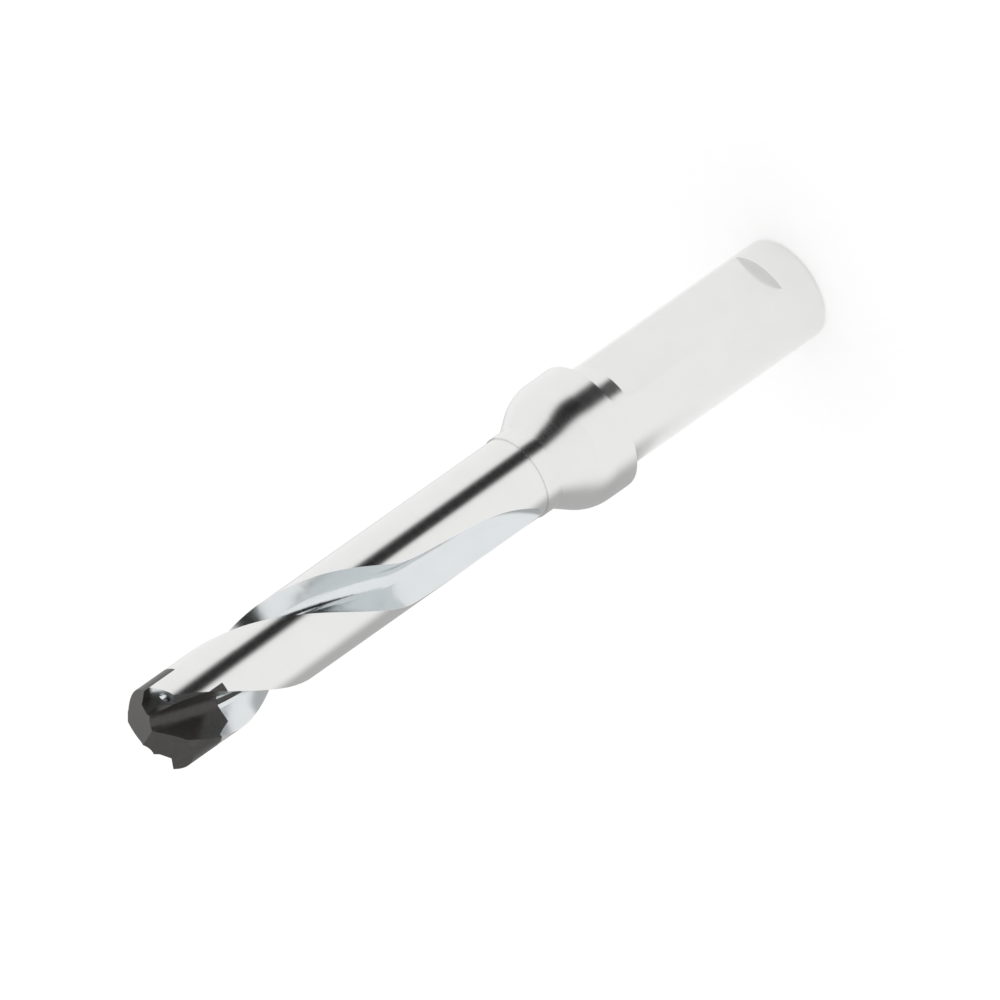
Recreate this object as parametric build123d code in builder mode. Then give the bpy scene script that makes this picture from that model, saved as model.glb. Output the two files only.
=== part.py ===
"""Replaceable tip drill, 16.5 mm: a steel body with a twist-locked carbide crown.

The drill stands on the end of its shank. The origin is the centre of that end
face, +Z runs along the axis to the point, and the shank flat faces -Y.
"""

import os
from math import asin, cos, degrees, radians, sin, sqrt, tan

from build123d import *

# shank
shank_diameter = 20.0
shank_length = 50.0
shank_chamfer = 0.8
flat_depth = 1.9
flat_start = 7.0
flat_length = 38.5

# collar and neck
collar_diameter = 25.0
collar_cone_top = 8.0
collar_cone_angle = 33.9
collar_shoulder_radius = 9.8
collar_edge_break = 0.3
neck_diameter = 16.5
neck_length = 3.4
neck_fillet = 3.0

# fluted part, measured along the axis from the collar's back face
body_diameter = 16.0
guide_diameter = 16.2
guide_length = 15.0
fluted_length = 103.0
web_diameter = 5.8
flute_radius = 2.25
flute_heel_sweep = 94.0
lip_offset = 1.9
lead_at_tip = 89.0
lead_at_neck = 430.0
lead_change_height = 51.0
lead_blend = 5.0
runout_height = 32.6
runout_radius = 20.0
runout_length = 18.0
runout_side = 35.0

# crown
crown_diameter = 16.5
margin_width = 1.7
land_clearance = 0.15
corner_height = 3.2
point_angle = 140.0
lip_clearance_angle = 14.0
lip_azimuth = 8.3

# seat of the crown between the prongs
prong_height = 8.6
wing_height = 4.7
tang_width = 8.5
tang_turn = 15.9
prong_nose = 1.5
prong_nose_run = 1.8
prong_nose_drop = 1.05
prong_back_angle = 62.0
prong_crest = 0.4
prong_slope_along = 14.0
prong_slope_across = 8.6
pilot_diameter = 6.0
pilot_length = 6.0
seat_clearance = 0.02
pilot_clearance = 0.05

# coolant
coolant_bore = 5.0
coolant_bore_depth = 56.0
coolant_countersink = 1.0
channel_diameter = 1.8
channel_circle = 13.2
channel_lag = 85.0
channel_entry = 62.0
channel_run = 9.0

# places that follow from the sizes
shank_radius = shank_diameter / 2
body_radius = body_diameter / 2
crown_radius = crown_diameter / 2
prong_top = shank_length + fluted_length
seat_floor = prong_top - prong_height
wing_floor = prong_top - wing_height
corner_z = prong_top + corner_height
runout_z = shank_length + runout_height
lead_change_z = shank_length + lead_change_height
cutter_radius = collar_diameter
corner_reach = sqrt(crown_radius**2 - lip_offset**2)
point_drop = 1 / tan(radians(point_angle / 2))
lip_centre_z = corner_z + corner_reach * point_drop
flute_centre = (
    sqrt((web_diameter / 2 + flute_radius) ** 2 - (lip_offset + flute_radius) ** 2),
    lip_offset + flute_radius,
)


def turn_at(z):
    """Degrees by which the flutes have turned at height z, counted from the cutting corners."""
    rate_tip = 360 / lead_at_tip
    rate_neck = 360 / lead_at_neck
    low = lead_change_z - lead_blend / 2
    high = lead_change_z + lead_blend / 2
    if z >= high:
        return rate_tip * (z - corner_z)
    turned = rate_tip * (high - corner_z)
    share = (high - max(z, low)) / lead_blend
    turned -= lead_blend * share * (rate_tip + (rate_neck - rate_tip) * share / 2)
    if z < low:
        turned -= rate_neck * (low - z)
    return turned


def flute_plane(z):
    """Plane across the axis at height z, turned with the flutes, X along the lip."""
    return Plane.XY.offset(z).rotated((0, 0, lip_azimuth + turn_at(z)))


def flute_section_plane(z):
    """Flute plane at height z, slid away from the core where the flute runs out near the neck."""
    plane = flute_plane(z)
    drop = max(0.0, min(runout_z - z, runout_radius))
    slide = runout_radius - sqrt(runout_radius**2 - drop**2)
    away = Vector(slide, 0, 0).rotate(Axis.Z, runout_side)
    return Plane(plane.from_local_coords(away), x_dir=plane.x_dir, z_dir=plane.z_dir)


def twisted_levels(low, high, step):
    """Heights from low to high, about one step apart."""
    count = max(2, round((high - low) / step))
    return [low + (high - low) * index / count for index in range(count + 1)]


def seat_plane(z):
    """Plane across the axis at height z, X along the tang of the crown."""
    return Plane.XY.offset(z).rotated((0, 0, lip_azimuth + tang_turn))


def flank_plane(side):
    """Ground flank behind one lip: it holds the lip and falls away behind it."""
    lip = Plane.XY.offset(lip_centre_z).rotated((0, 0, lip_azimuth + side))
    start = lip.from_local_coords(Vector(0, lip_offset, 0))
    normal = lip.x_dir * point_drop - lip.y_dir * tan(radians(lip_clearance_angle)) + lip.z_dir
    return Plane(origin=start, x_dir=lip.x_dir - lip.z_dir * point_drop, z_dir=normal)


def prong_top_plane():
    """Sloping top of the prong on the -Y side of the seat."""
    seat = seat_plane(prong_top + prong_crest)
    along = seat.x_dir + seat.z_dir * tan(radians(prong_slope_along))
    across = seat.y_dir - seat.z_dir * tan(radians(prong_slope_across))
    return Plane(origin=seat.origin, x_dir=along, z_dir=along.cross(across))


def plan_of_crown(gap):
    """Plan of the crown above the prong roots: a disc less the two prongs, each smaller by gap."""
    inner = Vector(prong_nose - prong_nose_run, -tang_width / 2)
    nose = Vector(prong_nose, -tang_width / 2 - prong_nose_drop)
    back_end = nose - Vector(cutter_radius, 0).rotate(Axis.Z, prong_back_angle)
    root = Vector(-cutter_radius, -tang_width / 2)
    prong = Polygon(root, inner, nose, back_end, align=None, mode=Mode.PRIVATE)
    if gap > 0:
        prong = offset(prong, amount=-gap, kind=Kind.INTERSECTION, mode=Mode.PRIVATE)
    Circle(crown_radius + 1)
    with PolarLocations(0, 2):
        add(prong, mode=Mode.SUBTRACT)


# flute cutter: the straight rake wall, the rounded floor and the heel, twisted up the axis
flute_top = lip_centre_z + 2
runout_end = runout_z - runout_length
runout_levels = twisted_levels(runout_end, runout_z, 3.0)
blend_low = lead_change_z - lead_blend / 2
blend_high = lead_change_z + lead_blend / 2
flute_levels = runout_levels + twisted_levels(runout_z, blend_low, 6.0)[1:]
flute_levels += twisted_levels(blend_low, blend_high, 2.5)[1:]
flute_levels += twisted_levels(blend_high, flute_top, 7.0)[1:]

with BuildPart() as flute_cutter:
    for height in flute_levels:
        with BuildSketch(flute_section_plane(height)):
            with BuildLine():
                rake = Line((cutter_radius, lip_offset), (flute_centre[0], lip_offset))
                floor = CenterArc(flute_centre, flute_radius, 270, -flute_heel_sweep)
                heel = Line(floor @ 1, (floor @ 1) + (floor % 1) * cutter_radius)
                Line(heel @ 1, rake @ 0)
            make_face()
    loft()

# land relief: everything outside the relieved land, from the margin round to the heel
margin_start = degrees(asin(lip_offset / crown_radius))
margin_end = margin_start - degrees(margin_width / crown_radius)
relief_sweep = 180 - degrees(margin_width / crown_radius) - 50

with BuildPart() as land_relief:
    for height in twisted_levels(seat_floor - 3, flute_top, 3.0):
        with BuildSketch(flute_plane(height)):
            with BuildLine():
                inner = CenterArc(
                    (0, 0), crown_radius - land_clearance, margin_end, -relief_sweep
                )
                outer = CenterArc((0, 0), crown_radius + 2, margin_end, -relief_sweep)
                Line(inner @ 0, outer @ 0)
                Line(inner @ 1, outer @ 1)
            make_face()
    loft()

# pocket in the body for the crown: plan of the crown, slot of the tang and pilot bore
with BuildPart() as seat_pocket:
    with BuildSketch(seat_plane(wing_floor)):
        plan_of_crown(seat_clearance)
    extrude(amount=lip_centre_z + 1 - wing_floor)
    with BuildSketch(seat_plane(seat_floor - seat_clearance)):
        Rectangle(4 * crown_radius, tang_width + 2 * seat_clearance)
    extrude(amount=wing_floor - seat_floor + seat_clearance)
    with BuildSketch(Plane.XY.offset(seat_floor - pilot_length - pilot_clearance)):
        Circle(pilot_diameter / 2 + pilot_clearance)
    extrude(amount=pilot_length + 2 * pilot_clearance)

# what is ground off the top of one prong
with BuildPart() as prong_trim:
    with BuildSketch(prong_top_plane()):
        Rectangle(4 * crown_radius, 2 * crown_radius, align=(Align.CENTER, Align.MAX))
    extrude(amount=crown_radius)

# coolant channels: drilled runs that climb each land with the flutes, and one down to the bore
channel_points = [
    flute_plane(height).from_local_coords(
        Vector(channel_circle / 2, 0, 0).rotate(Axis.Z, -channel_lag)
    )
    for height in twisted_levels(channel_entry, lip_centre_z, channel_run)
]
channel_start = Vector(0, 0, coolant_bore_depth - coolant_bore / 2)
channel_runs = list(zip([channel_start] + channel_points, channel_points))

with BuildPart() as channel:
    for low_end, high_end in channel_runs:
        with BuildSketch(Plane(origin=low_end, z_dir=high_end - low_end)):
            Circle(channel_diameter / 2)
        extrude(amount=(high_end - low_end).length)
    with Locations(*channel_points[:-1]):
        Sphere(channel_diameter / 2)

# body: collar, neck and fluted part turned in one, what is cut from them, and then the shank
cone_foot = shank_length + collar_cone_top
cone_run = (collar_diameter - neck_diameter) / 2 / tan(radians(collar_cone_angle))
neck_foot = cone_foot + cone_run
neck_top = neck_foot + neck_length
guide_foot = prong_top - guide_length
flat_end = flat_start + flat_length

with BuildPart() as drill_body:
    with BuildSketch(Plane.XZ):
        with BuildLine():
            Polyline(
                (0, flat_end),
                (shank_radius, flat_end),
                (shank_radius, shank_length),
                (collar_diameter / 2, shank_length),
                (collar_diameter / 2, cone_foot),
                (neck_diameter / 2, neck_foot),
                (neck_diameter / 2, neck_top),
                (body_radius, neck_top),
                (body_radius, guide_foot),
                (guide_diameter / 2, guide_foot),
                (guide_diameter / 2, lip_centre_z),
                (0, lip_centre_z),
                close=True,
            )
        make_face()
        corners = vertices().filter_by(lambda v: v.X > 0.1)
        shoulder = corners.filter_by(lambda v: abs(v.Y - cone_foot) < 0.01)
        cone_end = corners.filter_by(lambda v: abs(v.Y - neck_foot) < 0.01)
        collar_back = corners.filter_by(
            lambda v: abs(v.Y - shank_length) < 0.01 and v.X > shank_radius + 0.1
        )
        fillet(shoulder, radius=collar_shoulder_radius)
        fillet(cone_end, radius=neck_fillet)
        chamfer(collar_back, length=collar_edge_break)
    revolve(axis=Axis.Z)

    with PolarLocations(0, 2):
        add(flute_cutter.part, mode=Mode.SUBTRACT)
        add(channel.part, mode=Mode.SUBTRACT)
        add(prong_trim.part, mode=Mode.SUBTRACT)
    add(seat_pocket.part, mode=Mode.SUBTRACT)

    # shank: a round end, the stretch with the parallel flat, and the round top under the collar
    with BuildSketch():
        Circle(shank_radius)
    extrude(amount=flat_start, clean=False)
    chamfer(edges().group_by(Axis.Z)[0], length=shank_chamfer)
    with BuildSketch(Plane.XY.offset(flat_start)):
        Circle(shank_radius)
        with Locations((0, -shank_radius)):
            Rectangle(
                shank_diameter, flat_depth, align=(Align.CENTER, Align.MIN), mode=Mode.SUBTRACT
            )
    extrude(amount=flat_length, clean=False)

    # coolant supply up the shank
    with BuildSketch():
        Circle(coolant_bore / 2)
    extrude(amount=coolant_bore_depth, mode=Mode.SUBTRACT, clean=False)
    with BuildSketch():
        Circle(coolant_bore / 2 + coolant_countersink)
    extrude(amount=coolant_countersink, taper=45, mode=Mode.SUBTRACT, clean=False)

# crown: a ground blank with two flat flanks, then the flutes and the relieved lands
with BuildPart() as carbide_crown:
    with BuildSketch(seat_plane(wing_floor)):
        plan_of_crown(0)
    extrude(amount=lip_centre_z + 1 - wing_floor)
    with BuildSketch(seat_plane(seat_floor)):
        Rectangle(4 * crown_radius, tang_width)
    extrude(amount=wing_floor - seat_floor)
    with BuildSketch(Plane.XY.offset(seat_floor)):
        Circle(crown_radius)
    extrude(amount=lip_centre_z + 1 - seat_floor, mode=Mode.INTERSECT)
    split(bisect_by=flank_plane(0), keep=Keep.BOTTOM)
    split(bisect_by=flank_plane(180), keep=Keep.BOTTOM)
    with PolarLocations(0, 2):
        add(flute_cutter.part, mode=Mode.SUBTRACT)
        add(land_relief.part, mode=Mode.SUBTRACT)
    with BuildSketch(Plane.XY.offset(seat_floor - pilot_length)):
        Circle(pilot_diameter / 2)
    extrude(amount=pilot_length)

os.makedirs("parts", exist_ok=True)
drill_body.part.label = "drill_body"
export_step(drill_body.part, "parts/drill_body.step")
carbide_crown.part.label = "carbide_crown"
export_step(carbide_crown.part, "parts/carbide_crown.step")
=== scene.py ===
"""Looks, light and camera for the replaceable tip drill."""

import math

import bpy
from mathutils import Matrix, Vector

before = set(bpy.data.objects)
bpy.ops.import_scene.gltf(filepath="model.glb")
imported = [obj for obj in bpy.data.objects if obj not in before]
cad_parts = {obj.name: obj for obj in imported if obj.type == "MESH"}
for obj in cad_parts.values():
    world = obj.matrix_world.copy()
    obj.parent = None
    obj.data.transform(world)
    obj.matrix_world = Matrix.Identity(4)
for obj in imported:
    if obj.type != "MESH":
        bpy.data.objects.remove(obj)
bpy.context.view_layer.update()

# photograph: how the drill's axis lies in the picture, and its scale
AXIS_RISE = 35.2
AXIS_TILT = 29.0
NEAR_SIDE = -127.0
PIXELS_PER_METRE = 5650.0
AIM_HEIGHT = 0.080
AIM_PIXEL = (466.9, 512.8)
LENS = 1500.0
SENSOR = 36.0
FRAME_PIXELS = 1000.0

# sizes of the drill that the materials need, in metres
FLUTE_RADIUS = 0.00785
FLUTE_LOW = 0.064
FLUTE_HIGH = 0.1530


def camera_axes():
    """Right, up and back of the camera, from how the axis lies in the photograph."""
    rise, tilt, near = (math.radians(v) for v in (AXIS_RISE, AXIS_TILT, NEAR_SIDE))
    axis = Vector((0, 0, 1))
    nearest = Vector((math.cos(near), math.sin(near), 0))
    across = axis.cross(nearest)
    along = axis * math.cos(tilt) - nearest * math.sin(tilt)
    back = axis * math.sin(tilt) + nearest * math.cos(tilt)
    right = -along * math.cos(rise) - across * math.sin(rise)
    up = back.cross(right)
    return right, up, back


def make_camera():
    """Camera of the photograph: a long lens aimed so that AIM_HEIGHT falls on AIM_PIXEL."""
    right, up, back = camera_axes()
    data = bpy.data.cameras.new("photo_camera")
    data.lens = LENS
    data.sensor_width = SENSOR
    camera = bpy.data.objects.new("photo_camera", data)
    bpy.context.scene.collection.objects.link(camera)
    distance = FRAME_PIXELS / PIXELS_PER_METRE * LENS / SENSOR
    centre = Vector((0, 0, AIM_HEIGHT))
    centre += right * (FRAME_PIXELS / 2 - AIM_PIXEL[0]) / PIXELS_PER_METRE
    centre += up * (AIM_PIXEL[1] - FRAME_PIXELS / 2) / PIXELS_PER_METRE
    camera.rotation_mode = "QUATERNION"
    camera.rotation_quaternion = Matrix((right, up, back)).transposed().to_quaternion()
    camera.location = centre + back * distance
    data.clip_start = 1.0
    data.clip_end = 20.0
    bpy.context.scene.camera = camera


class Nodes:
    """Short hand for building one node tree."""

    def __init__(self, owner):
        owner.use_nodes = True
        self.tree = owner.node_tree
        self.tree.nodes.clear()

    def add(self, kind, inputs=None, **settings):
        node = self.tree.nodes.new(kind)
        for name, value in settings.items():
            setattr(node, name, value)
        for name, value in (inputs or {}).items():
            self.put(node.inputs[name], value)
        return node

    def put(self, socket, value):
        if isinstance(value, bpy.types.NodeSocket):
            self.tree.links.new(value, socket)
        else:
            socket.default_value = value

    def math(self, operation, *values, clamp=False):
        node = self.add("ShaderNodeMath", operation=operation, use_clamp=clamp)
        for index, value in enumerate(values):
            self.put(node.inputs[index], value)
        return node.outputs[0]

    def ramp(self, value, *stops, smooth=True):
        """Value mapped through (position, grey or colour) stops."""
        node = self.add("ShaderNodeValToRGB", {"Fac": value})
        node.color_ramp.interpolation = "EASE" if smooth else "LINEAR"
        while len(node.color_ramp.elements) < len(stops):
            node.color_ramp.elements.new(0.5)
        for element, (position, colour) in zip(node.color_ramp.elements, stops):
            element.position = position
            grey = isinstance(colour, (int, float))
            element.color = (colour, colour, colour, 1) if grey else (*colour, 1)
        return node.outputs["Color"]

    def mix(self, factor, first, second):
        node = self.add("ShaderNodeMix", data_type="RGBA")
        self.put(node.inputs[0], factor)
        self.put(node.inputs[6], first)
        self.put(node.inputs[7], second)
        return node.outputs[2]


def rgba(*colour):
    return (*colour, 1.0)


def steel_material():
    """Bright nickel-plated steel: ground shank, turned collar, polished flutes."""
    material = bpy.data.materials.new("nickel_plated_steel")
    n = Nodes(material)
    place = n.add("ShaderNodeTexCoord").outputs["Object"]
    xyz = n.add("ShaderNodeSeparateXYZ", {"Vector": place})
    x, y, z = (xyz.outputs[i] for i in range(3))
    radius = n.math("SQRT", n.math("ADD", n.math("MULTIPLY", x, x), n.math("MULTIPLY", y, y)))
    inside = n.math("LESS_THAN", radius, FLUTE_RADIUS)
    above = n.math("GREATER_THAN", z, FLUTE_LOW)
    in_flute = n.math("MULTIPLY", inside, above)
    shader = n.add("ShaderNodeBsdfPrincipled", {"Metallic": 1.0})
    rings = n.add("ShaderNodeMapping", {"Vector": place, "Scale": (60.0, 60.0, 9000.0)})
    grind = n.add("ShaderNodeTexNoise", {"Vector": rings.outputs[0], "Scale": 1.0, "Detail": 3.0})
    soft = n.add("ShaderNodeTexNoise", {"Vector": place, "Scale": 180.0, "Detail": 2.0})
    land = n.mix(soft.outputs["Fac"], rgba(0.83, 0.83, 0.82), rgba(0.78, 0.78, 0.775))
    flute = n.mix(soft.outputs["Fac"], rgba(0.76, 0.79, 0.80), rgba(0.70, 0.73, 0.745))
    n.put(shader.inputs["Base Color"], n.mix(in_flute, land, flute))
    rough = n.math("ADD", 0.16, n.math("MULTIPLY", grind.outputs["Fac"], 0.10))
    n.put(shader.inputs["Roughness"], rough)
    bump = n.add("ShaderNodeBump", {"Strength": 0.08, "Distance": 0.00002, "Height": grind.outputs["Fac"]})
    n.put(shader.inputs["Normal"], bump.outputs[0])
    n.add("ShaderNodeOutputMaterial", {"Surface": shader.outputs[0]})
    return material


def carbide_material():
    """Dark ceramic coating on ground carbide."""
    material = bpy.data.materials.new("coated_carbide")
    n = Nodes(material)
    place = n.add("ShaderNodeTexCoord").outputs["Object"]
    grain = n.add("ShaderNodeTexNoise", {"Vector": place, "Scale": 900.0, "Detail": 4.0})
    colour = n.mix(grain.outputs["Fac"], rgba(0.050, 0.048, 0.046), rgba(0.085, 0.081, 0.077))
    shader = n.add("ShaderNodeBsdfPrincipled", {"Metallic": 0.55, "Base Color": colour})
    n.put(shader.inputs["Roughness"], n.math("ADD", 0.28, n.math("MULTIPLY", grain.outputs["Fac"], 0.15)))
    bump = n.add("ShaderNodeBump", {"Strength": 0.15, "Distance": 0.00002, "Height": grain.outputs["Fac"]})
    n.put(shader.inputs["Normal"], bump.outputs[0])
    n.add("ShaderNodeOutputMaterial", {"Surface": shader.outputs[0]})
    return material


def dress(node, material):
    """Give a CAD node one material."""
    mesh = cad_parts[node].data
    mesh.materials.clear()
    mesh.materials.append(material)


def make_world():
    """White studio: the camera and the metal see white, matt surfaces get softer light."""
    world = bpy.data.worlds.new("studio")
    n = Nodes(world)
    path = n.add("ShaderNodeLightPath")
    seen = n.math(
        "MAXIMUM",
        path.outputs["Is Camera Ray"],
        n.math("MAXIMUM", path.outputs["Is Glossy Ray"], path.outputs["Is Transmission Ray"]),
    )
    strength = n.math("ADD", 0.75, n.math("MULTIPLY", seen, 0.25))
    background = n.add("ShaderNodeBackground", {"Color": rgba(1, 1, 1), "Strength": strength})
    n.add("ShaderNodeOutputWorld", {"Surface": background.outputs[0]})
    bpy.context.scene.world = world


def make_floor():
    """Pale floor that keeps a faint shadow."""
    bpy.ops.mesh.primitive_plane_add(size=6.0)
    floor = bpy.context.object
    floor.name = "floor"
    material = bpy.data.materials.new("pale_floor")
    n = Nodes(material)
    path = n.add("ShaderNodeLightPath")
    seen = n.math(
        "MAXIMUM",
        path.outputs["Is Camera Ray"],
        n.math("MAXIMUM", path.outputs["Is Glossy Ray"], path.outputs["Is Transmission Ray"]),
    )
    paint = n.add("ShaderNodeBsdfDiffuse", {"Color": rgba(0.9, 0.9, 0.9)})
    glow = n.add("ShaderNodeEmission", {"Color": rgba(1, 1, 1), "Strength": n.math("MULTIPLY", seen, 0.35)})
    both = n.add("ShaderNodeAddShader")
    n.put(both.inputs[0], paint.outputs[0])
    n.put(both.inputs[1], glow.outputs[0])
    n.add("ShaderNodeOutputMaterial", {"Surface": both.outputs[0]})
    floor.data.materials.append(material)


def make_card(name, start, end, low, high, distance, grey):
    """Curved card round the drill, seen only in its reflections.

    start and end are angles in degrees from the near side, towards the picture's
    upper side. The card fades out towards both ends.
    """
    steps = 24
    verts, faces = [], []
    for step in range(steps + 1):
        angle = math.radians(NEAR_SIDE + start + (end - start) * step / steps)
        for height in (low, high):
            verts.append((distance * math.cos(angle), distance * math.sin(angle), height))
    for step in range(steps):
        first = 2 * step
        faces.append((first, first + 1, first + 3, first + 2))
    mesh = bpy.data.meshes.new(name)
    mesh.from_pydata(verts, [], faces)
    layer = mesh.uv_layers.new(name="across")
    for loop in mesh.loops:
        layer.data[loop.index].uv = ((loop.vertex_index // 2) / steps, loop.vertex_index % 2)
    card = bpy.data.objects.new(name, mesh)
    bpy.context.scene.collection.objects.link(card)
    material = bpy.data.materials.new(name)
    n = Nodes(material)
    across = n.add("ShaderNodeSeparateXYZ", {"Vector": n.add("ShaderNodeTexCoord").outputs["UV"]})
    fade = n.ramp(across.outputs[0], (0.0, 0.0), (0.25, 1.0), (0.75, 1.0), (1.0, 0.0))
    shade = n.add("ShaderNodeEmission", {"Color": rgba(grey, grey, grey), "Strength": 1.0})
    clear = n.add("ShaderNodeBsdfTransparent")
    both = n.add("ShaderNodeMixShader", {"Fac": fade})
    n.put(both.inputs[1], clear.outputs[0])
    n.put(both.inputs[2], shade.outputs[0])
    n.add("ShaderNodeOutputMaterial", {"Surface": both.outputs[0]})
    mesh.materials.append(material)
    card.visible_camera = False
    card.visible_diffuse = False
    card.visible_shadow = False


make_camera()
make_world()
make_floor()
make_card("dark_card", 14, 60, 0.0, 0.22, 0.075, 0.01)
make_card("grey_card", -74, -215, 0.0, 0.22, 0.085, 0.50)
dress("drill_body", steel_material())
dress("carbide_crown", carbide_material())
bpy.context.scene.view_settings.view_transform = "Standard"
